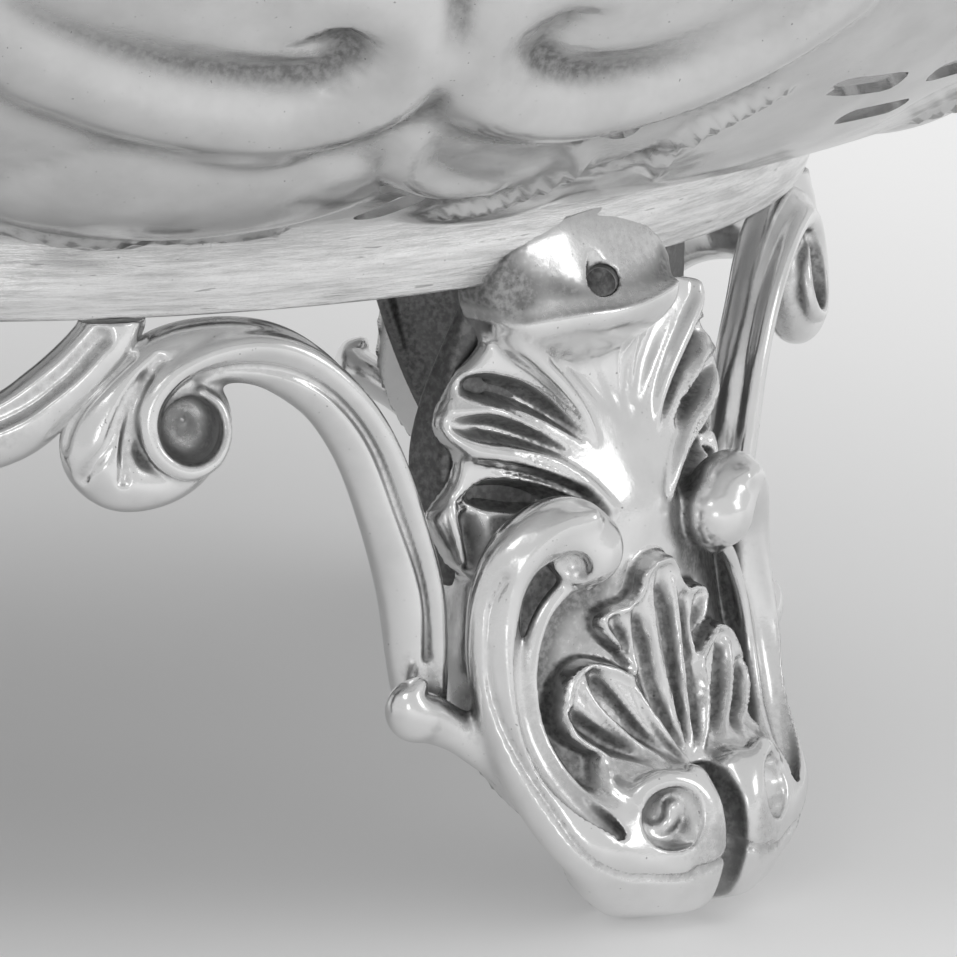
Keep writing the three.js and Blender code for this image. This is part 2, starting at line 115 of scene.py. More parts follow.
class Clay:
    """A block of voxels that holds distances."""

    def __init__(self, low, high, pitch=PITCH):
        self.low = np.array(low, float)
        self.pitch = pitch
        counts = np.ceil((np.array(high) - self.low) / pitch).astype(int) + 1
        self.axes = [self.low[k] + pitch * np.arange(counts[k]) for k in range(3)]
        self.field = np.full(counts, FAR, np.float32)

    def window(self, low, high):
        """The voxels between two corners: their slices and their coordinates."""
        spans = tuple(
            slice(max(0, np.searchsorted(axis, a) - 1), np.searchsorted(axis, b) + 1)
            for axis, a, b in zip(self.axes, low, high)
        )
        grids = [axis[span] for axis, span in zip(self.axes, spans)]
        return spans, (grids[0][:, None, None], grids[1][None, :, None], grids[2][None, None, :])

    def everywhere(self):
        return self.window([-1e3] * 3, [1e3] * 3)[1]

    def tube_distance(self, path, radii, fillet):
        """Distance to a tube of changing radius, known far enough out for the fillet."""
        path = np.asarray(path, float)
        radii = np.broadcast_to(np.asarray(radii, float), len(path))
        room = fillet + 2 * self.pitch
        near = np.full(self.field.shape, FAR, np.float32)
        for a, b, from_radius, to_radius in zip(path[:-1], path[1:], radii[:-1], radii[1:]):
            reach = max(from_radius, to_radius) + room
            spans, (x, y, z) = self.window(np.minimum(a, b) - reach, np.maximum(a, b) + reach)
            share, gap = reach_segment((x - a[0], y - a[1], z - a[2]), b - a)
            gap -= from_radius + share * (to_radius - from_radius)
            near[spans] = np.minimum(near[spans], gap)
        return near

    def add(self, distance, fillet=0.0):
        self.field = blend_min(self.field, distance, fillet).astype(np.float32)

    def keep(self, distance, fillet=0.0):
        self.field = blend_max(self.field, distance, fillet).astype(np.float32)

    def cut(self, distance, fillet=0.0):
        self.keep(-distance, fillet)

    def add_tube(self, path, radii, fillet):
        self.add(self.tube_distance(path, radii, fillet), fillet)

    def cut_tube(self, path, radii, fillet):
        self.cut(self.tube_distance(path, radii, fillet), fillet)

    def snapped(self, path):
        """The path, moved onto the surface."""
        slopes = np.gradient(self.field, self.pitch)
        path = np.array(path, float)
        for _ in range(4):
            places = (path - self.low) / self.pitch
            slope = np.stack([sample(each, places) for each in slopes], axis=1)
            length = np.maximum((slope**2).sum(axis=1), 0.05)
            shift = np.clip(sample(self.field, places) / length, -0.8, 0.8)
            path -= shift[:, None] * slope
        return path

    def dropped(self, path, core):
        """The path, moved away from the nearest point of a core until it meets the surface."""
        path = np.array(path, float)
        for place in path:
            centre = core[np.argmin(((core - place) ** 2).sum(axis=1))]
            way = centre + (place - centre) * np.linspace(0, 3, 200)[:, None]
            outside = sample(self.field, (way - self.low) / self.pitch) > 0
            place[:] = way[np.argmax(outside)]
        return path

    def mirrored(self):
        """The same clay with its other half. x starts at 0 here."""
        whole = Clay([0, 0, 0], [0, 0, 0], self.pitch)
        whole.low = self.low.copy()
        whole.low[0] = -self.axes[0][-1]
        whole.axes = [np.concatenate([-self.axes[0][:0:-1], self.axes[0]]), *self.axes[1:]]
        whole.field = np.concatenate([self.field[:0:-1], self.field])
        return whole


def sample(volume, places):
    """Values of a volume at places given in voxels, straight between voxels."""
    top = np.array(volume.shape) - 2
    cell = np.clip(np.floor(places).astype(int), 0, top)
    part = np.clip(places - cell, 0, 1)
    total = 0
    for corner in np.ndindex(2, 2, 2):
        weight = np.prod(np.where(corner, part, 1 - part), axis=1)
        index = cell + corner
        total = total + weight * volume[index[:, 0], index[:, 1], index[:, 2]]
    return total


def finish_mesh(mesh, recess):
    """Smooth faces, and the "recess" value that the patina and the painted shade follow."""
    mesh.polygons.foreach_set("use_smooth", np.ones(len(mesh.polygons), bool))
    attribute = mesh.attributes.new("recess", "FLOAT", "POINT")
    attribute.data.foreach_set("value", recess.astype(np.float32))


OPEN_REACH = (0.7, 1.5, 3.0)  # how far out the skin looks for walls, in millimetres


def draw_skin(clay, name, bend=None, flip=False, extra_patina_and_shade=None):
    """A mesh through the zero level, in metres, with normals and a "recess" value from the clay.

    bend moves places and normals to where they belong, and flip turns a mirrored skin inside out.
    The last argument gives more recess where the patina was left thick, and where shade is painted.
    """
    grid = openvdb.FloatGrid(FAR)
    grid.copyFromArray(clay.field)
    points, quads = grid.convertToQuads(isovalue=0.0)
    points = np.asarray(points, float)
    slopes = np.gradient(clay.field, clay.pitch)

    def slope_at(places):
        return np.stack([sample(slope, places) for slope in slopes], axis=1)

    for _ in range(2):
        slope = slope_at(points)
        length = np.maximum((slope**2).sum(axis=1), 0.05)
        shift = sample(clay.field, points) / length
        points -= np.clip(shift, -0.5, 0.5)[:, None] * slope / clay.pitch
    normals = slope_at(points)
    normals /= np.maximum(np.linalg.norm(normals, axis=1), 1e-6)[:, None]
    walled = []
    for reach in OPEN_REACH:
        gap = sample(clay.field, points + normals * (reach / clay.pitch))
        walled.append(np.clip(1 - gap / reach, 0, 1))
    recess = 0.5 * np.max(walled, axis=0) + 0.6 * np.mean(walled, axis=0)
    places = clay.low + points * clay.pitch
    # more recess: thick patina, and painted shade
    if extra_patina_and_shade:
        recess = recess + extra_patina_and_shade(places)
    if bend:
        places, normals = bend(places, normals)
    mesh = bpy.data.meshes.new(name)
    mesh.vertices.add(len(points))
    mesh.vertices.foreach_set("co", (places * MM).ravel())
    quads = np.asarray(quads, int)
    if flip:
        quads = quads[:, ::-1]
    mesh.loops.add(quads.size)
    mesh.loops.foreach_set("vertex_index", quads.ravel())
    mesh.polygons.add(len(quads))
    mesh.polygons.foreach_set("loop_start", np.arange(0, quads.size, 4))
    mesh.polygons.foreach_set("loop_total", np.full(len(quads), 4))
    mesh.update(calc_edges=True)
    mesh.validate()
    finish_mesh(mesh, recess)
    mesh.normals_split_custom_set_from_vertices(normals)
    return mesh


def link_object(name, data):
    item = bpy.data.objects.new(name, data)
    bpy.context.collection.objects.link(item)
    return item


def show(name, mesh, node, turn=0.0):
    """Puts a mesh in the scene in place of one of the frame's nodes, turned round the axis."""
    piece = link_object(name, mesh)
    piece.rotation_euler[2] = turn
    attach(piece, "root")
    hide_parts(node)


# ------ a cast foot
#
# Rows give places in millimetres: x across the foot from its middle, y from the bowl's axis and
# z above the table. One half is sculpted and then mirrored.

FOOT_TOP = STAND - 0.3
FIELD_PROFILE = [  # z and y of the plain front at the middle of the foot
    (0, 89.6), (3, 91.4), (8, 92), (14, 90.4), (20, 88.2), (26, 86.6), (30, 85.8), (34, 85.2),
    (38, 84.6), (42, 83.6), (46, 82.6), (50, 81.8), (56, 81.6), (62, 82.4),
]
CORE_HALF = [  # z and half-width of the casting behind the shell and the scrolls
    (0, 5), (2, 8.5), (5, 11.5), (8, 13), (14, 16), (22, 17.6), (30, 17.4), (44, 15.6), (62, 13),
]
FIELD_CROWN = [(0, 0.002), (8, 0.006), (18, 0.021), (36, 0.021), (48, 0.0125), (62, 0.0125)]

# The C-scroll's band: x, y, z and radius of its thick body.
BAND = [
    (5.2, 90.6, 5.6, 3.7), (9.6, 91, 7.2, 3.7), (13, 90.2, 9.5, 3.5), (14.6, 88.8, 11.3, 3.3),
    (16, 86.3, 14.6, 3), (17, 84.3, 18.2, 2.8), (17.8, 83, 22, 2.7), (18.2, 82.2, 26, 2.6),
    (18, 81.8, 30, 2.6), (17.4, 81.9, 33.6, 2.6), (16.2, 83, 37, 2.8), (13.6, 84.4, 38.9, 3),
    (11.2, 85.3, 38.6, 3.4), (9.6, 85.7, 36.9, 3.7),
]
TOE_LUMPS = [  # middle, half-sizes and fillet of the masses that a toe is built up from
    ((6.9, 89.4, 8.9), (7.4, 5.6, 7.6), 1.6), ((5.2, 89.8, 6.2), (5.6, 6.0, 6.2), 1.2),
    ((5.4, 90.0, 9.0), (5.2, 6.6, 7.0), 1.2),
]
TOE_HEART = [(3, 90, 7), (6, 89.6, 8)]  # the seam is found outwards from here
TOE_EYE = (7.0, 93.7, 11.7)
EYE_SIDEWAYS = (0.9, -0.44, 0)  # the eye's ring faces a little outwards
TOE_CREASE = [  # x, y, z and radius
    (0, 90, -1, 1.3), (0, 93.4, 2, 1.5), (0, 95, 5, 1.6), (0, 95.6, 8, 1.6), (0, 95.2, 11.5, 1.5),
    (0, 93.8, 14.5, 0.9),
]
TOE_ROLL = [(3.2, 93.6, 14), (2.9, 95, 11.5), (2.9, 95.3, 8), (3, 94.4, 4.6), (3.2, 92.6, 2)]
BEAD = [  # the round moulding along the band's outer edge
    (2.4, 94.6, 9.6), (4.2, 95, 7.4), (7.2, 94.6, 6.9), (10.3, 93.4, 8.3), (13.6, 91.7, 10.9),
    (16, 89.5, 14.3), (17.7, 87, 18.6), (18.6, 85.4, 22.8), (18.7, 84.5, 26.8), (18.4, 84.1, 30.6),
    (17.8, 84.4, 34.4), (16.2, 85.4, 37.8), (13.8, 86.8, 39.9), (11.2, 87.9, 40.4),
]
BUD = [  # x, y, z and radius
    (14, 82.6, 13.5, 1), (17.4, 81, 17, 1.5), (20.4, 79.6, 20, 1.9), (23.2, 78.6, 21.8, 2.3),
    (25.2, 78.2, 22.6, 2.5), (26, 78.4, 24.2, 1.7), (25, 78.8, 25.4, 0.9),
]
INNER_RIDGE = [  # along the band's inner edge
    (10.4, 92.2, 9.3), (12, 90.4, 11), (14, 88.2, 13.9), (15.5, 86.4, 17.5), (16.1, 85.1, 21.3),
    (15.7, 84.3, 26.5), (14, 84.2, 30.6), (11.4, 84.8, 33.2), (9.4, 85.8, 33.6),
]
SEAM = [  # the chased line under the bead, put on the surface later
    (0.6, 96, 7.9), (4.3, 95.2, 6.8), (10.8, 93.2, 7.1), (15.3, 90.7, 10.1), (18.7, 88.2, 15.4),
    (20.8, 85.6, 20.8), (21.2, 84, 25), (20.9, 83.5, 28.2), (19.9, 83.2, 32.5), (18.5, 83.8, 35.4),
]

# The shell's outer edge: z and x.
SHELL_EDGE = [
    (33.5, 16.6), (35.2, 18.2), (36.6, 18.8), (38.2, 19.4), (40, 19.8), (41.6, 19.2), (43.2, 18.3),
    (45, 17.9), (46.2, 18.3), (47.4, 19.2), (48.8, 19.6), (50.4, 19.2), (52.2, 18.2), (53.6, 17.3),
    (54.8, 16), (56.2, 14.9), (57.8, 14.4), (59.2, 13.6), (60.4, 12),
]
# Strokes on the front: x, z, half-width and height. Negative heights are flutes.
SHELL_STROKES = [
    [(11.6, 59.6, 2.6, -0.7), (7.4, 56, 2.2, -0.9), (4.6, 52.4, 1.5, -0.8),
     (2.2, 48.6, 0.7, -0.2)],
    [(3.2, 60, 4.2, -0.7), (2.4, 55, 3, -0.8), (1, 50, 1.8, -0.5), (0, 46.5, 0.8, 0)],
    [(13.9, 58.4, 1.1, 0.5), (13.4, 56.3, 1.2, 1.1), (10.7, 54, 1.2, 1.2), (7.9, 51.3, 1.1, 1),
     (5.7, 48.6, 0.9, 0.7), (4.4, 45.8, 0.7, 0.1)],
    [(18.2, 52.3, 1.2, -0.5), (15.6, 52.2, 1.5, -1.7), (12, 51, 1.5, -2), (8.8, 48.9, 1.1, -1.5),
     (5.8, 46.2, 0.5, -0.3)],
    [(19, 50.2, 0.6, 0.3), (15.7, 50.1, 0.6, 0.6), (13.3, 49.1, 0.55, 0.6),
     (10.6, 47.6, 0.5, 0.3)],
    [(18.4, 48.7, 1, -0.4), (15, 48.2, 1.4, -1.4), (11.6, 46.9, 1.2, -1.4),
     (8.2, 45.2, 0.6, -0.4)],
    [(19.4, 48.3, 0.9, 0.3), (17.4, 46.6, 1.3, 0.9), (14, 45.7, 1.3, 1.2), (10, 44.2, 1.2, 1.1),
     (6.8, 42.2, 1, 0.9), (4.4, 39.6, 0.9, 0.3)],
    [(15.4, 44.6, 0.3, -0.2), (11.9, 43.5, 0.35, -0.6), (8.4, 41.9, 0.3, -0.4),
     (6.2, 40.3, 0.25, 0)],
    [(14, 45.9, 0.25, -0.1), (10.8, 44.6, 0.3, -0.5), (7.6, 42.8, 0.25, -0.2)],
    [(17.6, 41.4, 1, -0.6), (15.4, 41.9, 1.7, -2.2), (12, 41.3, 1.6, -2.6), (8.8, 40.2, 1.2, -1.6),
     (5.6, 39, 0.6, -0.1)],
    [(19.4, 41.4, 0.8, 0.5), (18.9, 38.6, 0.8, 0.7), (18.3, 36, 0.8, 0.5)],
    [(17.3, 39.8, 1.2, -1.2), (17, 37.6, 1.1, -1.4), (17.2, 35.4, 0.7, -0.8)],
]

SHELL_DEPTH = 1.25

LEAF_EDGE = [
    (0, 34.8), (1.4, 34.5), (2.6, 33.4), (3.3, 31.8), (4.5, 30.9), (6.1, 30.7), (7.6, 30.2),
    (8, 28.9), (7.2, 27.4), (5.7, 26), (5, 24.4), (6.4, 25.2), (8.2, 25.9), (10, 26.1), (11.9, 25),
    (12.9, 23.2), (13.5, 21), (13.2, 19.2), (12, 18), (10.9, 17.2), (11.4, 15.8), (11.4, 14.4),
    (10.2, 13.3), (8.6, 12.9), (6.4, 13.6), (3.4, 14.4), (0, 14.6),
]
LEAF_STROKES = [
    [(0, 32.8, 0.9, -0.5), (0, 29, 1.5, -1.3), (0, 24, 1.2, -1.4), (0, 19, 0.7, -1),
     (0, 16.4, 0.3, 0)],
    [(1.7, 31.8, 0.5, 0.2), (1.7, 28.2, 0.5, 0.5), (1.4, 24, 0.5, 0.6), (0.9, 20, 0.45, 0.5),
     (0.6, 16.4, 0.4, 0.2)],
    [(3.4, 30, 0.8, -0.4), (3.1, 26.6, 1.1, -1.3), (2.9, 22.6, 1, -1.4), (2, 18.8, 0.7, -1),
     (1, 16, 0.3, 0)],
    [(6.2, 29.2, 0.9, -0.4), (5.2, 27.2, 0.9, -0.9), (4.6, 23.6, 0.7, -0.7),
     (3.6, 20.4, 0.5, -0.3)],
    [(4.9, 24.2, 0.6, 0.4), (4.3, 21, 0.7, 0.7), (2.9, 18, 0.7, 0.7), (1.2, 15.6, 0.6, 0.3)],
    [(9.2, 24.6, 1, -0.6), (8.4, 22.6, 1.3, -1.5), (6.4, 19.6, 1.1, -1.5), (3.9, 16.7, 0.5, -0.3)],
    [(10.6, 23.8, 0.5, 0.3), (9.7, 21.6, 0.5, 0.5), (7.8, 19.2, 0.5, 0.6), (5, 16.4, 0.45, 0.3)],
    [(12.2, 21.4, 0.9, -0.6), (11, 19.9, 1.1, -1.4), (8.8, 17.9, 1, -1.4), (6, 15.9, 0.4, -0.3)],
    [(10.6, 15.2, 0.9, -0.5), (8.8, 15, 0.9, -1.1), (6.6, 15, 0.5, -0.5)],
]
LEAF_RISE = 1.05
LEAF_CURL = 0.6  # how much further the leaf's tip stands forward
LEAF_FLATNESS = 0.008  # the leaf is rounded less than the field behind it


def across(rows, column=1):
    """A smooth function of the rows' first column."""
    path = smooth_path(rows, 12 * len(rows))
    return lambda value: np.interp(value, path[:, 0], path[:, column])


field_profile = across(FIELD_PROFILE)
field_crown = across(FIELD_CROWN)


def field_front(x, z):
    return field_profile(z) - field_crown(z) * x * x


def lay_stroke(height, x, z, rows):
    """Adds one ridge or flute to a sheet of heights."""
    path = smooth_path(rows, 10 * len(rows))
    best = np.full(np.broadcast(x, z).shape, 1.0)
    rise = np.zeros_like(best)
    for a, b in zip(path[:-1], path[1:]):
        share, gap = reach_segment((x - a[0], z - a[1]), b[:2] - a[:2])
        gap = gap / np.maximum(a[2] + share * (b[2] - a[2]), 0.05)
        nearer = gap < best
        best = np.where(nearer, gap, best)
        rise = np.where(nearer, a[3] + share * (b[3] - a[3]), rise)
    height += rise * (1 - best * best) ** 1.3


def outline_distance(x, z, corners):
    """Distance to a closed outline in the x-z plane, negative inside."""
    near = np.full(np.broadcast(x, z).shape, 1e9)
    crossings = np.zeros_like(near, dtype=int)
    for a, b in zip(corners, np.roll(corners, -1, axis=0)):
        step = b - a
        near = np.minimum(near, reach_segment((x - a[0], z - a[1]), step)[1])
        rises = (a[1] > z) != (b[1] > z)
        if a[1] != b[1]:
            crossings += rises & (x < a[0] + (z - a[1]) * step[0] / step[1])
    return np.where(crossings % 2, -near, near)


def leaf_height(x, z):
    half = smooth_path(LEAF_EDGE, 8 * len(LEAF_EDGE))
    whole = np.vstack([half, half[::-1] * (-1, 1)])
    edge = outline_distance(x, z, whole)
    curl = LEAF_CURL * smooth_step(z, 24, 34) * np.clip(1 - (x / 7) ** 2, 0, 1)
    relief = np.zeros_like(edge)
    for rows in LEAF_STROKES:
        lay_stroke(relief, x, z, rows)
    rim = 0.5 * np.exp(-(((edge + 0.55) / 0.4) ** 2))
    body = LEAF_RISE + curl + rim + LEAF_FLATNESS * x * x + 1.25 * relief
    return np.maximum(body * smooth_step(-edge, -0.1, 0.4), 0)


def shell_relief(x, z):
    relief = np.zeros(np.broadcast(x, z).shape)
    for rows in SHELL_STROKES:
        lay_stroke(relief, x, z, rows)
    return relief * SHELL_DEPTH


def front_relief(x, z):
    bulge = 0.9 * np.exp(-((x / 6) ** 2) - ((z - 40) / 5) ** 2)
    return shell_relief(x, z) + bulge + leaf_height(x, z)


def sheet_distance(clay, height_at):
    """Distance to everything behind a sheet y = height(x, z)."""
    x, z = clay.axes[0][:, None], clay.axes[2][None, :]
    height = height_at(x, z)
    slope_x, slope_z = np.gradient(height, clay.pitch)
    steepness = np.sqrt(1 + slope_x**2 + slope_z**2)
    y = clay.axes[1][None, :, None]
    return (y - height[:, None, :]) / steepness[:, None, :]


def edge_distance(clay, half_at):
    """Distance to everything within a half-width that changes with the height."""
    z = clay.axes[2]
    half = half_at(z)
    slope = np.gradient(half, clay.pitch)
    x = clay.axes[0][:, None, None]
    return (x - half[None, None, :]) / np.sqrt(1 + slope**2)[None, None, :]


VENT = (5.4, 84.2, 61.6)  # hole in the floor of the lip
VENT_RADIUS = 1.5
VENT_RUN = (-17.0, -15.2, -5.6)  # the way from the vent to the open back of the foot
SHELL_TOP = [(0, 59.2), (9, 58.8), (12.8, 58.2), (16, 57.4), (22.5, 56)]  # x and z
LIP_SHIFT = 4.5  # the lip stands a little to one side, as rococo lips do
# The lip, from its own middle: x, y and z of its turned-out rim, and z of its back on the ring.
LIP_EDGE = [
    (-20, 79, 57, 60), (-14, 80.6, 58.2, 61.8), (-10.6, 84, 60.2, 63), (-8, 85.6, 60.2, 64.2),
    (-4, 86.4, 59.6, 65.4), (0, 86.5, 59.3, 65.8), (4, 85.4, 59.2, 65.5), (8, 83.4, 58.8, 64.2),
    (11.6, 81.6, 58, 63.2), (14.3, 80.2, 57.4, 61.8), (20, 78, 56, 60),
]
LIP_DISH = 0.9
COLLAR_RADIUS = 82.4  # where the collar's back lies on the ring
# The collar's sides: z and half-width.
COLLAR_SIDES = [(48, 5), (52, 6.4), (55, 8.4), (57.5, 10.2), (59, 11.2), (61.7, 11.8), (67, 10)]
COLLAR_LEAN = 0.3  # the lip's middle from that of its rim
COLLAR_LOW, COLLAR_BACK = 49.0, 76.0  # its lowest z and its least y
LIP_NECK = 2.4  # how far the front is drawn in just under the lip
LIP_SWING = (50, 59.5)  # between these heights the front swings out to the rim
RING_CLEAR = RING - 1.0  # above its top, a foot ends inside the ring's wall
FRONT_PITCH = 0.345  # as fine as the chasing needs, and no heavier
CORE_DEPTH = 5.0
SHELL_PLATE = 1.9
SHELL_LOW = 33.6
EYE_RING, EYE_DISH = (3.7, 3.5), (3.4, 3.2, 3.0)
EYE_CURL = (1.9, 1.8)
CHANNEL_LIFT = 1.5  # the hollow along the band is cut by a tube this far above its two ridges
SOLE_RISE = (0.28, 0.24)  # how fast the sole leaves the table forwards and sideways


def ellipsoid_distance(clay, middle, size):
    parts = [((axis - a) / b) ** 2 for axis, a, b in zip(clay.everywhere(), middle, size)]
    return (np.sqrt(sum(parts)) - 1) * min(size)


def curved(rows):
    return smooth_path(rows, 8 * len(rows))


def tapered(rows):
    """A curved path and its radii, from rows of x, y, z and radius."""
    path = curved(rows)
    return path[:, :3], path[:, 3]


def add_collar(clay):
    """The lip: a collar that climbs up the ring behind a turned-out rim, dished between them."""
    x, y, z = clay.everywhere()
    across_lip = x - LIP_SHIFT
    rim_y, rim_z, back_z = (across(LIP_EDGE, column)(across_lip) for column in (1, 2, 3))
    back_y = np.sqrt(COLLAR_RADIUS**2 - x**2)
    way = np.clip((rim_y - y) / np.maximum(rim_y - back_y, 0.8), -0.5, 1.2)
    top = rim_z + (back_z - rim_z) * np.abs(way) ** 1.4
    top = top - LIP_DISH * np.sin(np.pi * np.clip(way, 0, 1))

    def front(x, z):
        flat = field_front(x, z) - LIP_NECK * smooth_step(-z, -58, -51)
        return flat + (across(LIP_EDGE)(x - LIP_SHIFT) - flat) * smooth_step(z, *LIP_SWING) ** 1.5

    shell = sheet_distance(clay, front)
    collar = blend_max(shell, (z - top) / 1.4, 0.5)
    sides = np.maximum(np.abs(across_lip - COLLAR_LEAN) - across(COLLAR_SIDES)(z), COLLAR_LOW - z)
    collar = blend_max(collar, np.maximum(sides, COLLAR_BACK - y), 2.2)
    clay.add(collar, 1.2)
    clay.cut(np.maximum(FOOT_TOP - z, np.hypot(x, y) - RING_CLEAR))


def cut_vent(clay, radius):
    start = np.array(VENT)
    clay.cut_tube([start + (0, 0, 2), start, start + VENT_RUN], radius, 0.3)


def sculpt_foot_front():
    clay = Clay((0, 73.5, -0.5), (30, 98, 67), FRONT_PITCH)
    z = clay.axes[2][None, None, :]
    field = sheet_distance(clay, field_front)
    carved = sheet_distance(clay, lambda x, z: field_front(x, z) + front_relief(x, z))

    # Core of the casting, from the toe to the shell.
    clay.field = blend_max(carved, edge_distance(clay, across(CORE_HALF)), 1.2).astype(np.float32)
    clay.keep(-(field + CORE_DEPTH))

    over = z - across(SHELL_TOP)(clay.axes[0])[:, None, None]
    clay.keep(over, 0.3)

    # Shell: a thinner plate with a scalloped edge that stands clear of the core.
    plate = blend_max(carved, edge_distance(clay, across(SHELL_EDGE)), 0.7)
    plate = blend_max(plate, -(field + SHELL_PLATE), 0.5)
    plate = blend_max(plate, over, 0.4)
    plate = blend_max(plate, SHELL_LOW - z, 0.6)
    clay.add(plate, 0.5)

    # C-scroll and toe.
    clay.add_tube(*tapered(BAND), 0.9)
    for middle, size, fillet in TOE_LUMPS:
        clay.add(ellipsoid_distance(clay, middle, size), fillet)
    clay.add_tube(curved(INNER_RIDGE), 0.85, 0.9)
    clay.add_tube(curved(BEAD), 0.95, 0.9)
    channel = curved((np.array(INNER_RIDGE[1:]) + BEAD[4:12]) / 2 + (0, CHANNEL_LIFT, 0))
    clay.cut_tube(channel, np.interp(np.arange(len(channel)), (0, 16), (0.8, 1.75)), 0.6)
    clay.add_tube(*tapered(BUD), 1.6)

    # Toe volute: a turned rim round a dished eye, and the crease between the two toes.
    turns = np.linspace(0, 2 * np.pi, 40)

    def ring_round_eye(wide, high, back, some=turns):
        across_ring = wide * np.cos(some)[:, None] * EYE_SIDEWAYS
        return TOE_EYE + across_ring + high * np.sin(some)[:, None] * (0, 0, 1) - (0, back, 0)

    clay.add_tube(ring_round_eye(*EYE_RING, 0.1), 1.1, 0.6)
    clay.cut(ellipsoid_distance(clay, np.add(TOE_EYE, (0.2, 1.3, 0.1)), EYE_DISH), 0.3)
    clay.add_tube(ring_round_eye(*EYE_CURL, 1.5, turns[18:36]), 0.75, 0.5)
    clay.add_tube(curved(TOE_ROLL), 1.9, 1.5)
    clay.cut_tube(*tapered(TOE_CREASE), 0.9)
    heart = np.vstack([TOE_HEART, tapered(BAND)[0][10:]])
    clay.cut_tube(clay.dropped(curved(SEAM), heart), 0.42, 0.25)

    x, y, _ = clay.everywhere()
    clay.keep(SOLE_RISE[0] * np.clip(y - 88, 0, 9) + SOLE_RISE[1] * np.clip(x - 5, 0, 9) - z, 0.5)
    whole = clay.mirrored()
    add_collar(whole)
    cut_vent(whole, VENT_RADIUS)
    return whole


# The back casting: flanks that spread to the ring. Rows: z, half-width and y of the heel.
FLANK = [
    (2.4, 8, 84.5), (8, 11.6, 83), (14, 14.2, 80.5), (20, 15.6, 77), (28, 16.6, 73.6),
    (36, 17.4, 71.2), (44, 18.2, 70.6), (50, 17.8, 71.6), (56, 16.5, 73.5), (61.7, 15.2, 75.6),
]
FLANK_WALL = 2.2
BACK_FRONT, BACK_WALL = 2.2, 3.4  # how far it starts behind the field, and its wall there
BACK_FLOOR, BACK_SOLE = 9.0, 2.4  # z of the hollow's floor and of the underside
BACK_PITCH = 0.4  # the backs are plain, so coarser clay does for them


def sculpt_foot_back():
    clay = Clay((0, 68, 1.5), (28, 90, 63.5), BACK_PITCH)
    y = clay.axes[1][None, :, None]
    z = clay.axes[2][None, None, :]
    half = edge_distance(clay, across(FLANK))
    heel = across(FLANK, 2)(clay.axes[2])[None, None, :]
    front = sheet_distance(clay, field_front) + BACK_FRONT
    outer = blend_max(blend_max(half, front, 0.5), heel - y, 1.5)
    inner = np.maximum(np.maximum(half + FLANK_WALL, front + BACK_WALL), BACK_FLOOR - z)
    clay.field = outer.astype(np.float32)
    clay.cut(inner, 0.8)
    clay.keep(blend_max(BACK_SOLE - z, z - FOOT_TOP, 0))
    whole = clay.mirrored()
    cut_vent(whole, VENT_RADIUS + 0.3)
    return whole


def foot_patina_and_shade(places):
    """Patina between the toes and in the flutes, darker on the field between the C-scrolls, and
    painted shade over the lip's top and at its one end.
    """
    x, y, z = places.T
    above = y - field_front(x, z)
    inside = smooth_step(16 - np.abs(x), 0, 2) * smooth_step(z, 10, 14) * smooth_step(-z, -38, -31)
    field = 0.55 * inside * smooth_step(-np.abs(above), -1.1, -0.3)
    crease = 0.55 * np.exp(-((x / 1.3) ** 2)) * smooth_step(-z, -15, -12.5) * smooth_step(y, 89, 92)
    # painted shade at one end of the lip
    ends = 0.6 * smooth_step(x - LIP_SHIFT, 6.5, 12) * smooth_step(z, 57.5, 59.0)
    flutes = 0.15 * np.clip(-shell_relief(np.abs(x), z), 0, 1.4)
    flutes *= smooth_step(y, 78, 79.5) * smooth_step(-z, -59, -58)
    # the last term is painted shade over the lip's top
    return field + crease + ends + flutes + 0.42 * smooth_step(z, 59.5, 61)


def make_feet(front_finish, back_shaded):
    front = draw_skin(sculpt_foot_front(), "foot_front_skin", extra_patina_and_shade=foot_patina_and_shade)
    back = draw_skin(sculpt_foot_back(), "foot_back_skin")
    front.materials.append(front_finish)
    # the backs get the darker copy of the silver, which is painted shade
    back.materials.append(back_shaded)
    for number in range(1, FEET + 1):
        turn = (number - 1) * 2 * math.pi / FEET
        show(f"cast_front_{number}", front, f"foot_front_{number}", turn)
        show(f"cast_back_{number}", back, f"foot_back_{number}", turn)


# ------ link scrolls
#
# Sculpted flat and then bent round the drum: s along it from the middle of the foot, h outwards
# from it and z above the table.

LINK_SETBACK = 1.9
LINK_SHIFT = 0.8
DRUM = RING - LINK_SETBACK


def bend_round(side):
    """Wraps flat clay round the drum, to one side of the foot (1 or -1)."""

    def bend(places, normals):
        angle = (places[:, 0] - LINK_SHIFT) / DRUM
        reach = DRUM + places[:, 1]
        sine, cosine = np.sin(angle), np.cos(angle)
        bent = np.stack([side * reach * sine, reach * cosine, places[:, 2]], axis=1)
        along, out = normals[:, 0], normals[:, 1]
        turned = [side * (along * cosine + out * sine), out * cosine - along * sine, normals[:, 2]]
        return bent, np.stack(turned, axis=1)

    return bend


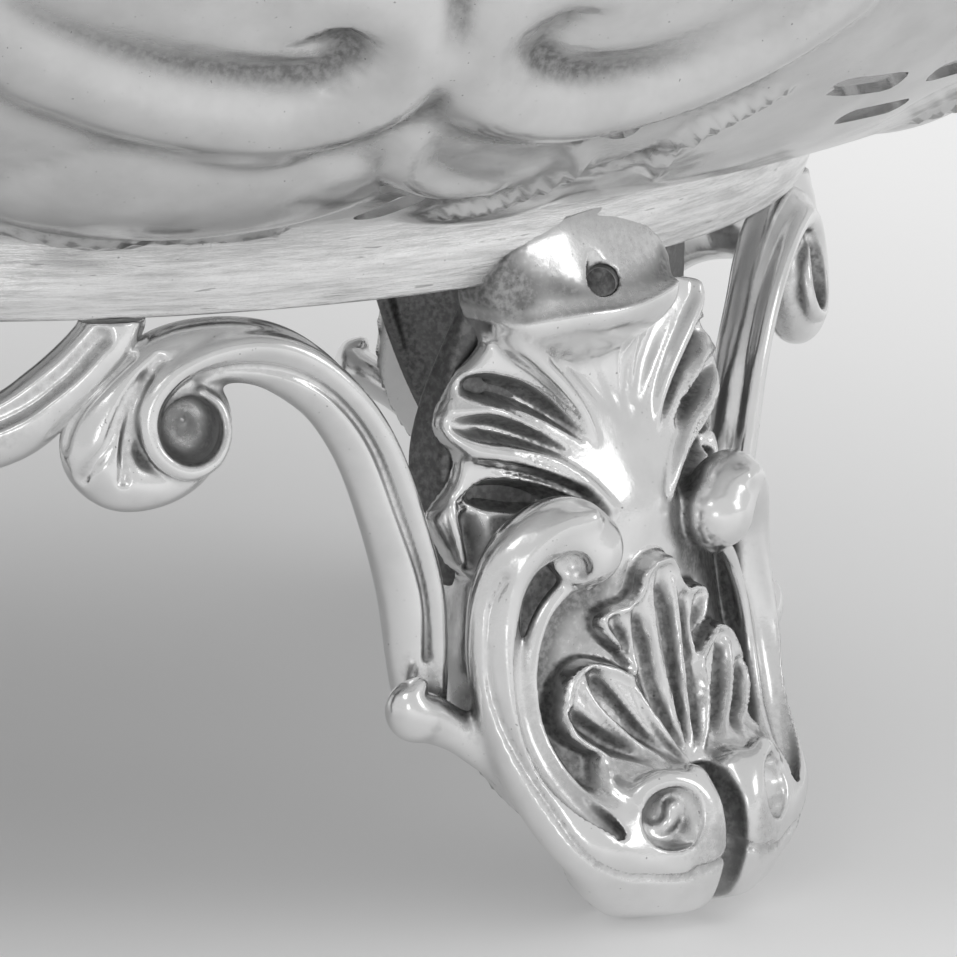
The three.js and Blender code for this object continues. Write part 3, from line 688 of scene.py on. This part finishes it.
# Rows: s, h, z and radius.
ARCH_BODY = [
    (22.6, -1.2, 21, 1.5), (23, -0.8, 24, 2.3), (23.4, -0.6, 27.5, 2.6), (24.3, -0.4, 34, 2.8),
    (26.3, -0.2, 41, 2.8), (28.8, -0.1, 47.3, 2.7), (31.8, 0, 52.2, 2.7), (34.8, 0, 55.3, 2.9),
    (38.6, 0, 57.6, 3), (43, 0.1, 58.4, 3), (47.6, 0.2, 58, 2.9), (51.2, 0.5, 55.6, 3.1),
    (53.8, 0.8, 52.4, 3.4), (54.3, 1, 49.4, 3.4), (52.4, 1.1, 47.2, 3.1), (49.2, 1.2, 46.7, 2.4),
    (46.6, 1.2, 47.6, 1.9), (44.9, 1.2, 49.4, 1.3),
]
ARCH_RIDGE = [
    (21.4, 0.8, 22.5, 0.8), (21.8, 1.5, 27, 0.9), (22.6, 2, 34, 0.95), (24.7, 2.2, 41.3, 0.95),
    (27.4, 2.3, 48.3, 0.95), (30.7, 2.4, 53.4, 1), (34.6, 2.5, 57, 1.05), (38.6, 2.6, 58.8, 1.1),
    (43, 2.7, 58.9, 1.1), (47, 2.9, 57.4, 1), (49.4, 3.2, 55, 0.95), (50.1, 3.5, 52.2, 0.9),
    (49.2, 3.7, 49.6, 0.9), (46.8, 3.7, 48.1, 0.9), (44.4, 3.4, 48.9, 0.8), (43.3, 3, 51.2, 0.7),
    (43.7, 2.7, 53.6, 0.6), (45.2, 2.5, 55, 0.4),
]
ARCH_CREASE = [
    (23.2, 1.6, 27.5), (23.7, 2.1, 34), (26.3, 2.3, 41.5), (29.1, 2.4, 48.7), (32.6, 2.5, 53.4),
    (36.8, 2.6, 56.2), (41.6, 2.6, 57.2), (45.6, 2.6, 56.6),
]
ARCH_FLUTES = [
    [(55.6, 3, 48), (54.2, 3, 50.4), (53, 3, 53.2), (51.2, 3, 56), (49, 3, 58.2)],
    [(52.6, 3.4, 47.6), (52.4, 3.4, 50.4), (51.6, 3.4, 53.6), (50, 3, 56.6)],
    [(56.6, 2, 50.6), (55.4, 2, 53.2), (53.6, 2, 55.8), (51.4, 2, 58.6)],
]
ARCH_EYE = (46.3, 3.0, 51.7)
STEM_BODY = [
    (114, 0.4, 31.5, 1.8), (107, 0, 38.5, 2.2), (98.5, 0.6, 44.5, 2.4), (88, 1, 47.6, 2.5),
    (76, 1, 49, 2.7), (64, 0.6, 51.4, 3.2), (58.5, 0.2, 54.8, 3.1), (54, -0.2, 59, 3),
    (52.6, -0.9, 61.5, 3),
]
STEM_GROOVE = [
    (107, 2, 39.5), (98.5, 3, 46), (88, 3, 49), (76, 3, 50.4), (64, 3, 53), (58, 3, 56.8),
    (54, 2, 60.4),
]


def sculpt_arch():
    clay = Clay((17, -6.5, 18.5), (62.5, 8, 62.5))
    h, z = clay.axes[1][None, :, None], clay.axes[2][None, None, :]
    clay.add_tube(*tapered(ARCH_BODY), 1.5)
    clay.add(ellipsoid_distance(clay, (47.6, 0.6, 51.8), (5.6, 2.6, 5.6)), 1.0)
    clay.cut_tube(clay.snapped(curved(ARCH_CREASE)), 0.5, 0.5)
    for flute in ARCH_FLUTES:
        clay.cut_tube(clay.snapped(curved(flute)), 0.5, 0.6)
    clay.add_tube(*tapered(ARCH_RIDGE), 0.7)
    clay.cut(ellipsoid_distance(clay, ARCH_EYE, (2.7, 4.6, 3.0)), 0.4)
    clay.keep(-5.2 - h, 0.5)
    clay.keep(z - FOOT_TOP)
    return clay


def sculpt_stem():
    clay = Clay((47, -7, 18.5), (117, 5, 62.5))
    clay.add_tube(*tapered(STEM_BODY), 1.5)
    clay.cut_tube(clay.snapped(curved(STEM_GROOVE)), 0.9, 0.8)
    clay.keep(clay.axes[2][None, None, :] - FOOT_TOP)
    return clay


def link_patina_and_shade(places):
    """Patina in the eye of a link scroll, and painted shade on its foot, on the side away from the
    light.
    """
    gap = np.sqrt(((places - ARCH_EYE) ** 2).sum(axis=1))
    foot = smooth_step(-places[:, 2], -32, -23) * smooth_step(places[:, 1], -1, 1.5)
    # the second term is painted shade on the foot
    return 0.55 * smooth_step(-gap, -4.2, -3.0) + 0.55 * foot


def make_links(finish):
    arch, stem = sculpt_arch(), sculpt_stem()
    for side in (1, -1):
        for kind, clay, extra_patina_and_shade in (("scroll", arch, link_patina_and_shade), ("stem", stem, None)):
            mesh = draw_skin(clay, f"link_{kind}_skin_{side}", bend_round(side), side < 0, extra_patina_and_shade)
            mesh.materials.append(finish)
            for end in (0, 1):
                number = 2 * end + (1 if side > 0 else 2)
                node = f"link_{kind}_{number}"
                show(f"cast_{kind}_{number}", mesh, node, end * math.pi)


# ------ foot ring


def turned_mesh(name, profile, count):
    """A closed profile of (radius, z) in millimetres, turned round the axis."""
    profile = np.asarray(profile, float)
    turns = np.linspace(0, 2 * np.pi, count, endpoint=False)
    places = np.stack(
        [np.outer(np.cos(turns), profile[:, 0]), np.outer(np.sin(turns), profile[:, 0]),
         np.broadcast_to(profile[:, 1], (count, len(profile)))], axis=2)
    rows = len(profile)
    faces = []
    for i in range(count):
        j = (i + 1) % count
        for k in range(rows):
            m = (k + 1) % rows
            faces.append((i * rows + k, j * rows + k, j * rows + m, i * rows + m))
    mesh = bpy.data.meshes.new(name)
    mesh.from_pydata((places.reshape(-1, 3) * MM).tolist(), [], faces)
    mesh.polygons.foreach_set("use_smooth", np.ones(len(faces), bool))
    return mesh


RING_ROUND = 0.5  # the ring's edges are rubbed round by this much


def make_ring(finish):
    rise = np.linspace(0, 1, 17)
    height = RING_TOP - STAND - 2 * RING_ROUND
    swell = RING + RING_SWELL * np.sin(np.pi * rise)
    outside = np.stack([swell, STAND + RING_ROUND + height * rise], axis=1)
    turn = np.linspace(0, np.pi / 2, 5)[1:]
    corner = RING - RING_ROUND + RING_ROUND * np.cos(turn)
    top = np.stack([corner, RING_TOP - RING_ROUND + RING_ROUND * np.sin(turn)], axis=1)
    low = np.stack([corner, STAND + RING_ROUND - RING_ROUND * np.sin(turn)], axis=1)
    inside = RING - RING_WALL
    profile = np.vstack([low[::-1], outside, top, [(inside, RING_TOP), (inside, STAND)]])
    mesh = turned_mesh("ring_skin", profile, 240)
    mesh.materials.append(finish)
    show("ring_band", mesh, "foot_ring")


# ------ bowl
#
# Angles are degrees from the middle of a foot, folded so that one eighth of the bowl is described.

BOWL_HEIGHT = SHEET_TOP - BOWL_BASE
WALL_CURVE = [(80, 0), (100, 0), (128, 13.8), (138, BOWL_HEIGHT)]  # radius and height
SHEET = 1.0
LOBES = 12
LOBE_DEPTH = 2.2
LOBE_START = 12.0
ARC_RADIUS = 112.0  # degrees are turned to millimetres at this radius
FOLD = 45.0

# Rows: degrees, radius, half-width and height of an embossed band.
BOWL_BANDS = [
    [(33.4, 128, 1.4, 0.6), (31.4, 129.6, 2.2, 1.2), (29.2, 128.4, 3, 1.8),
     (28.4, 125.4, 3.6, 2.2), (29.6, 122, 4, 2.4), (33, 120, 4.2, 2.4), (37.6, 121.4, 4, 2.2),
     (42, 124.8, 3.6, 1.8), (45, 128, 3.2, 1.4)],
    [(21, 129, 1.4, 0.6), (23.4, 130, 2.2, 1.2), (25.4, 128, 3, 1.8), (25.8, 124.6, 3.6, 2.2),
     (24.2, 121, 3.8, 2.3), (20.8, 118.8, 3.8, 2.2), (16.4, 119.6, 3.4, 1.8),
     (12.6, 122.6, 3, 1.5), (9, 127, 2.6, 1)],
    # Hollows on the inner side of the bands, and the chased line from the trellis.
    [(33, 126, 1.6, -0.6), (31.4, 126.6, 2, -1.1), (32, 124.6, 2.2, -1.2), (35, 124.6, 2.2, -1.1),
     (39.6, 126.8, 2.2, -0.8), (43.6, 130, 2, -0.3)],
    [(22.4, 127.2, 1.8, -0.6), (22.8, 124.8, 2.2, -1.2), (20.8, 123, 2.2, -1.1),
     (17.4, 123.8, 2, -0.8), (14, 127, 1.8, -0.3)],
    [(16, 108, 0.9, -0.4), (13.6, 110.4, 1.2, -0.8), (11.4, 113.6, 0.9, -0.4)],
    [(10.6, 103.5, 1, 0.5), (12.6, 108.6, 1.4, 1.2), (12.4, 114, 1.4, 1.3),
     (9.6, 118.4, 1.2, 0.8)],
    [(27.2, 117, 1.6, 0.9), (26.6, 112.4, 2.2, 1.3), (24, 108.4, 2, 1.2), (21, 106.4, 1.4, 0.7)],
    [(22, 100.6, 1.2, 0.5), (19.2, 104, 1.6, 1), (17.6, 109.4, 1.6, 1.1), (18.8, 113.6, 1.2, 0.5)],
    [(30, 96, 1.2, 0.7), (35, 97.6, 1.5, 1.1), (40, 101.4, 1.5, 1.2), (45, 104.6, 1.3, 1)],
]
# Bosses: degrees, radius, half-sizes in millimetres along and across, height.
BOWL_BOSSES = [(36.4, 109, 18.5, 9.6, 2.4), (7.4, 110, 7.5, 9.5, -0.5), (19, 98, 9, 6, 1)]
# Piercings: degrees, radius, half-length, half-width and lean from the radial line in degrees.
PIERCINGS = [
    (25.4, 102.8, 2.4, 1.7, -22), (17.6, 116, 2.2, 1.2, 70), (38.4, 96.2, 2.6, 1.1, 75),
    (0, 111.6, 3.4, 1.3, 90), (3.5, 117, 3.6, 1.3, 86),
]
BOWL_COLUMNS = 576
BOWL_ROWS = 84
HOLLOW_REACH = 3.0  # a place lower than the relief this far around it keeps patina


def flat_place(turn, radius):
    return np.radians(turn) * ARC_RADIUS, radius


def fold_turn(angle):
    """Degrees from the nearest foot, for an angle in radians."""
    turn = np.degrees(angle)
    return np.abs((turn + FOLD) % (2 * FOLD) - FOLD)


def bowl_relief(angle, radius):
    along, out = flat_place(fold_turn(angle), radius)
    rise = np.zeros(np.broadcast(along, out).shape)
    for rows in BOWL_BANDS:
        rows = [(*flat_place(turn, place), half, height) for turn, place, half, height in rows]
        lay_stroke(rise, along, out, rows)
    for turn, place, half_along, half_out, height in BOWL_BOSSES:
        middle, _ = flat_place(turn, place)
        inside = 1 - ((along - middle) / half_along) ** 2 - ((out - place) / half_out) ** 2
        rise += height * np.clip(inside, 0, 1) ** 0.75
    return rise * smooth_step(radius, 83, 90) * smooth_step(-radius, -136, -130)


def piercing_distance(angle, radius):
    along, out = flat_place(fold_turn(angle), radius)
    near = np.full(np.broadcast(along, out).shape, 99.0)
    for turn, place, half_length, half_width, lean in PIERCINGS:
        for side in (1, -1):
            middle, _ = flat_place(turn, place)
            dx, dy = side * along - middle, out - place
            tilt = math.radians(lean)
            down = dx * math.sin(tilt) + dy * math.cos(tilt)
            over = dx * math.cos(tilt) - dy * math.sin(tilt)
            gap = np.hypot(down - np.clip(down, -half_length, half_length), over) - half_width
            near = np.minimum(near, gap)
    return near


def wall_table():
    """Samples of the wall's outer curve, as radius and height, and the length up to each."""
    share = np.linspace(0, 1, 600)[:, None]
    a, b, c, d = (np.array(point) for point in WALL_CURVE)
    rest = 1 - share
    curve = rest**3 * a + 3 * rest**2 * share * b + 3 * rest * share**2 * c + share**3 * d
    length = np.concatenate([[0], np.cumsum(np.hypot(*np.diff(curve, axis=0).T))])
    return length, curve


def settle_on_piercings(angle, place, radius_at):
    """Moves the grid points that lie near a piercing's edge onto it."""
    end, small = place[0, -1], 0.05
    for _ in range(3):
        gap = piercing_distance(angle, radius_at(place))
        pull_along = (piercing_distance(angle + small / ARC_RADIUS, radius_at(place)) - gap) / small
        pull_out = (piercing_distance(angle, radius_at(place + small)) - gap) / small
        near = np.abs(gap) < 0.55 * 2 * np.pi / BOWL_COLUMNS * ARC_RADIUS  # about half a cell
        angle -= np.where(near, gap * pull_along / ARC_RADIUS, 0)
        place -= np.where(near, gap * pull_out, 0)
        place[:, 0], place[:, -1] = 0, end


def open_cells(angle, place, radius_at):
    """Which cells of the bowl's grid lie in a piercing."""
    half_turn, half_step = np.pi / BOWL_COLUMNS, place[0, -1] / BOWL_ROWS / 2
    middle_gap = piercing_distance(angle[:, :-1] + half_turn, radius_at(place[:, :-1] + half_step))
    gap = piercing_distance(angle, radius_at(place))
    following = np.roll(gap, -1, 0)
    mean_gap = (gap[:, :-1] + gap[:, 1:] + following[:, :-1] + following[:, 1:]) / 4
    return (mean_gap < -0.05) | (middle_gap < -0.4)


def pierced_faces(open_cell):
    """Both faces of the sheet, with walls round its rim and its piercings."""
    columns, rows = BOWL_COLUMNS, BOWL_ROWS + 1
    count = columns * rows

    def index(i, k):
        return (i % columns) * rows + k

    faces = []
    for i in range(columns):
        for k in range(rows - 1):
            if open_cell[i, k]:
                continue
            corners = (index(i, k), index(i, k + 1), index(i + 1, k + 1), index(i + 1, k))
            faces.append(corners)
            faces.append(tuple(corner + count for corner in reversed(corners)))
            sides = (
                (i - 1, k, corners[0], corners[1]), (i, k + 1, corners[1], corners[2]),
                (i + 1, k, corners[2], corners[3]), (i, k - 1, corners[3], corners[0]),
            )
            for column, row, a, b in sides:
                if row == rows - 1 or (0 <= row and open_cell[column % columns, row]):
                    faces.append((b, a, a + count, b + count))
    return faces


def make_bowl(finish):
    length, curve = wall_table()
    columns, rows = BOWL_COLUMNS, BOWL_ROWS + 1

    def radius_at(where):
        return np.interp(where, length, curve[:, 0])

    turns = np.linspace(0, 2 * np.pi, columns, endpoint=False)
    angle, place = np.meshgrid(turns, np.linspace(0, length[-1], rows), indexing="ij")
    settle_on_piercings(angle, place, radius_at)
    radius, height = radius_at(place), np.interp(place, length, curve[:, 1])
    normal_r = np.interp(place, length, np.gradient(curve[:, 1], length))
    normal_h = -np.interp(place, length, np.gradient(curve[:, 0], length))
    relief = bowl_relief(angle, radius)
    around = 0
    for turn in np.arange(8) * math.pi / 4:
        aside, out = HOLLOW_REACH * math.cos(turn), HOLLOW_REACH * math.sin(turn)
        around = around + bowl_relief(angle + aside / ARC_RADIUS, radius_at(place + out)) / 8
    hollow = np.clip(around - relief, 0, 1.2)
    lobe = -LOBE_DEPTH * smooth_step(height, LOBE_START, BOWL_HEIGHT) * np.cos(LOBES * angle)
    sheets = []
    for offset in (0.0, -SHEET):
        reach = radius + lobe + (relief + offset) * normal_r
        up = BOWL_BASE + height + (relief + offset) * normal_h
        up[:, 0] = BOWL_BASE - offset
        reach[:, 0] = radius[:, 0]
        corners = np.stack([reach * np.sin(angle), reach * np.cos(angle), up], axis=2)
        sheets.append(corners.reshape(-1, 3))
    faces = pierced_faces(open_cells(angle, place, radius_at))
    count = columns * rows

    # The flat floor: both sheets run in to the middle.
    places = np.vstack(sheets)
    first = len(places)
    places = np.vstack([places, [(0, 0, BOWL_BASE), (0, 0, BOWL_BASE + SHEET)]])
    for i in range(columns):
        here, there = i * rows, (i + 1) % columns * rows
        faces.append((there, first, here))
        faces.append((here + count, first + 1, there + count))
    used = np.zeros(len(places), bool)
    used[[corner for face in faces for corner in face]] = True
    renumber = np.cumsum(used) - 1
    faces = [tuple(int(renumber[corner]) for corner in face) for face in faces]
    mesh = bpy.data.meshes.new("bowl_skin")
    mesh.from_pydata((places[used] * MM).tolist(), [], faces)
    finish_mesh(mesh, np.concatenate([hollow.ravel(), 0.5 * hollow.ravel(), [0, 0]])[used])
    mesh.set_sharp_from_angle(angle=math.radians(50))
    mesh.materials.append(finish)
    show("raised_bowl", mesh, "bowl")


# ------ silver


class Graph:
    """Short names for building a material's nodes."""

    def __init__(self, name):
        self.material = bpy.data.materials.new(name)
        self.material.use_nodes = True
        self.nodes = self.material.node_tree.nodes
        self.links = self.material.node_tree.links
        self.shader = self.nodes["Principled BSDF"]
        self.places = self.nodes.new("ShaderNodeTexCoord").outputs["Object"]

    def feed(self, socket, value):
        if isinstance(value, bpy.types.NodeSocket):
            self.links.new(value, socket)
        else:
            socket.default_value = value

    def math(self, operation, *values):
        node = self.nodes.new("ShaderNodeMath")
        node.operation = operation
        for socket, value in zip(node.inputs, values):
            self.feed(socket, value)
        return node.outputs[0]

    def plus(self, a, b):
        return self.math("ADD", a, b)

    def times(self, a, b):
        return self.math("MULTIPLY", a, b)

    def noise(self, scale, detail=2.0, rough=0.5, stretch=None):
        node = self.nodes.new("ShaderNodeTexNoise")
        node.inputs["Scale"].default_value = scale
        node.inputs["Detail"].default_value = detail
        node.inputs["Roughness"].default_value = rough
        where = self.places
        if stretch:
            mapping = self.nodes.new("ShaderNodeMapping")
            mapping.inputs["Scale"].default_value = stretch
            self.links.new(where, mapping.inputs["Vector"])
            where = mapping.outputs["Vector"]
        self.links.new(where, node.inputs["Vector"])
        return node.outputs["Fac"]

    def attribute(self, name):
        node = self.nodes.new("ShaderNodeAttribute")
        node.attribute_name = name
        return node.outputs["Fac"]

    def spread(self, value, low, high, to_low=0.0, to_high=1.0):
        """Value from low to high, taken smoothly to another range."""
        node = self.nodes.new("ShaderNodeMapRange")
        node.interpolation_type = "SMOOTHSTEP"
        self.feed(node.inputs["Value"], value)
        sockets = "From Min", "From Max", "To Min", "To Max"
        for socket, number in zip(sockets, (low, high, to_low, to_high)):
            self.feed(node.inputs[socket], number)
        return node.outputs["Result"]

    def mix(self, share, first, second):
        node = self.nodes.new("ShaderNodeMix")
        for place, value in zip((0, 2, 3), (share, first, second)):
            self.feed(node.inputs[place], value)
        return node.outputs[0]

    def grey(self, value):
        node = self.nodes.new("ShaderNodeCombineColor")
        for socket in node.inputs:
            self.feed(socket, value)
        return node.outputs["Color"]

    def bump(self, height, distance):
        node = self.nodes.new("ShaderNodeBump")
        node.inputs["Distance"].default_value = distance
        self.feed(node.inputs["Height"], height)
        return node.outputs["Normal"]


def silver(
    name, bright=0.9, tarnish_and_shade=0.0, grain=0.1, threshold=(0.34, 0.9), speckle=0.5, streaks=0.0
):
    """Polished silver, darkened all over: lightly, and much more on the shaded copy as painted
    shade. Recesses keep a dark patina, and the recess value also brings painted shade.

    Objects without the "recess" attribute read it as 0. speckle breaks the patina up, and streaks
    are the level marks of a polishing wheel.
    """
    graph = Graph(name)
    blotches = graph.noise(140, 4, 0.6)
    specks = graph.noise(1500, 3, 0.6)
    pits = graph.noise(2600, 1, 0.5)
    patina_and_shade_level = graph.attribute("recess")
    for grains in (blotches, specks):
        patina_and_shade_level = graph.plus(patina_and_shade_level, graph.times(graph.math("SUBTRACT", grains, 0.5), speckle))
    # all-over darkening: a little on the cast silver, painted shade on the shaded copy
    patina_and_shade_level = graph.plus(patina_and_shade_level, tarnish_and_shade)
    patina_and_shade_mask = graph.spread(patina_and_shade_level, *threshold)
    pitted = graph.spread(pits, 0.75, 0.8)
    shade = graph.spread(blotches, 0.25, 0.75, bright - grain, bright)
    # the dark tone of the patina, which also colours the painted shade
    patina = graph.spread(specks, 0.3, 0.7, 0.26, 0.52)
    shade = graph.times(shade, graph.mix(patina_and_shade_mask, 1.0, patina))
    shade = graph.times(shade, graph.spread(pitted, 0, 1, 1.0, 0.55))
    wave = graph.plus(graph.noise(90, 2, 0.5), graph.times(specks, 0.03))
    if streaks:
        lines = graph.noise(90, 6, 0.75, (1, 1, 14))
        shade = graph.times(shade, graph.spread(lines, 0.3, 0.62, 1.0 - streaks, 1.0))
        nicks = graph.spread(graph.noise(240, 2, 0.6, (1, 1, 9)), 0.68, 0.74)
        shade = graph.times(shade, graph.spread(nicks, 0, 1, 1.0, 0.6))
        wave = graph.plus(wave, graph.times(lines, 0.25))
    graph.links.new(graph.grey(shade), graph.shader.inputs["Base Color"])
    graph.shader.inputs["Metallic"].default_value = 1
    rough = graph.spread(patina_and_shade_mask, 0, 1, 0.2, 0.5)
    graph.links.new(rough, graph.shader.inputs["Roughness"])
    graph.links.new(graph.bump(wave, 0.0006), graph.shader.inputs["Normal"])
    return graph.material


# ------ camera, floor and light


def make_camera():
    camera = link_object("camera", bpy.data.cameras.new("camera"))
    camera.data.sensor_width = 36
    camera.data.lens = 237.37
    camera.data.clip_start = 0.02
    camera.data.clip_end = 20
    camera.location = (-0.4416, -0.4601, 0.1833)
    forward = Vector((0.7230, 0.6488, -0.2375))
    camera.rotation_euler = forward.to_track_quat("-Z", "Y").to_euler()
    bpy.context.scene.camera = camera


def floor_paper():
    """Pale paper with painted light: it glows a little, more on the right and further off."""
    graph = Graph("floor_paper")
    split = graph.nodes.new("ShaderNodeSeparateXYZ")
    graph.links.new(graph.places, split.inputs[0])
    x, y = split.outputs[0], split.outputs[1]
    cosine, sine = 0.67, 0.74  # of the camera's turn round the object
    right = graph.math("SUBTRACT", graph.times(x, cosine), graph.times(y, sine))
    away = graph.plus(graph.times(x, sine), graph.times(y, cosine))
    # painted light: the glow grows to the right, further off, and a little towards the camera in
    # front of the stand
    glow = graph.spread(right, -0.01, 0.13, 0.14, 0.28)
    glow = graph.plus(glow, graph.spread(away, -0.05, 0.4, 0.0, 0.14))
    glow = graph.plus(glow, graph.spread(away, -0.085, -0.045, 0.09, 0.0))
    graph.links.new(glow, graph.shader.inputs["Emission Strength"])
    graph.shader.inputs["Emission Color"].default_value = (1, 1, 1, 1)
    graph.shader.inputs["Base Color"].default_value = (0.6, 0.6, 0.6, 1)
    graph.shader.inputs["Roughness"].default_value = 0.7
    return graph.material


def make_floor():
    mesh = bpy.data.meshes.new("floor")
    mesh.from_pydata([(-3, -3, 0), (3, -3, 0), (3, 3, 0), (-3, 3, 0)], [], [(0, 1, 2, 3)])
    floor = link_object("floor", mesh)
    mesh.materials.append(floor_paper())


LAMP_TARGET = (0, 0, 0.05)


def add_panel(name, place, size, power):
    """A softbox aimed at the stand. Metres and watts."""
    lamp = bpy.data.lights.new(name, "AREA")
    lamp.shape = "RECTANGLE"
    lamp.size, lamp.size_y = size
    lamp.energy = power
    panel = link_object(name, lamp)
    panel.location = place
    aim = Vector(LAMP_TARGET) - Vector(place)
    panel.rotation_euler = aim.to_track_quat("-Z", "Y").to_euler()


def make_light():
    world = bpy.data.worlds.new("studio")
    bpy.context.scene.world = world
    world.use_nodes = True
    background = world.node_tree.nodes["Background"].inputs
    background["Color"].default_value = (0.7, 0.7, 0.7, 1)
    background["Strength"].default_value = 0.96
    add_panel("key_softbox", (-0.9, -0.3, 0.8), (0.4, 0.4), 0.9)
    add_panel("side_softbox", (0.5, -1.2, 0.5), (0.4, 0.5), 0.8)
    add_panel("low_softbox", (-1.0, -0.9, 0.12), (0.3, 0.2), 0.3)


bpy.context.scene.view_settings.view_transform = "Standard"
make_camera()
make_floor()
make_light()

plain = silver("polished_silver")
cast = silver("cast_silver", 0.88, 0.05)
# painted shade: a copy of the silver darkened all over, for the backs of the feet
shaded = silver("shaded_silver", 0.55, 0.85, 0.2)
turned = silver("turned_silver", 0.95, streaks=0.34)
raised = silver("raised_silver", 0.73, threshold=(0.0, 1.2), speckle=0.15)
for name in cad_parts:
    solid = bpy.data.objects.get(name)
    if solid:
        solid.data.materials.clear()
        solid.data.materials.append(plain)
make_feet(cast, shaded)
make_links(cast)
make_ring(turned)
make_bowl(raised)
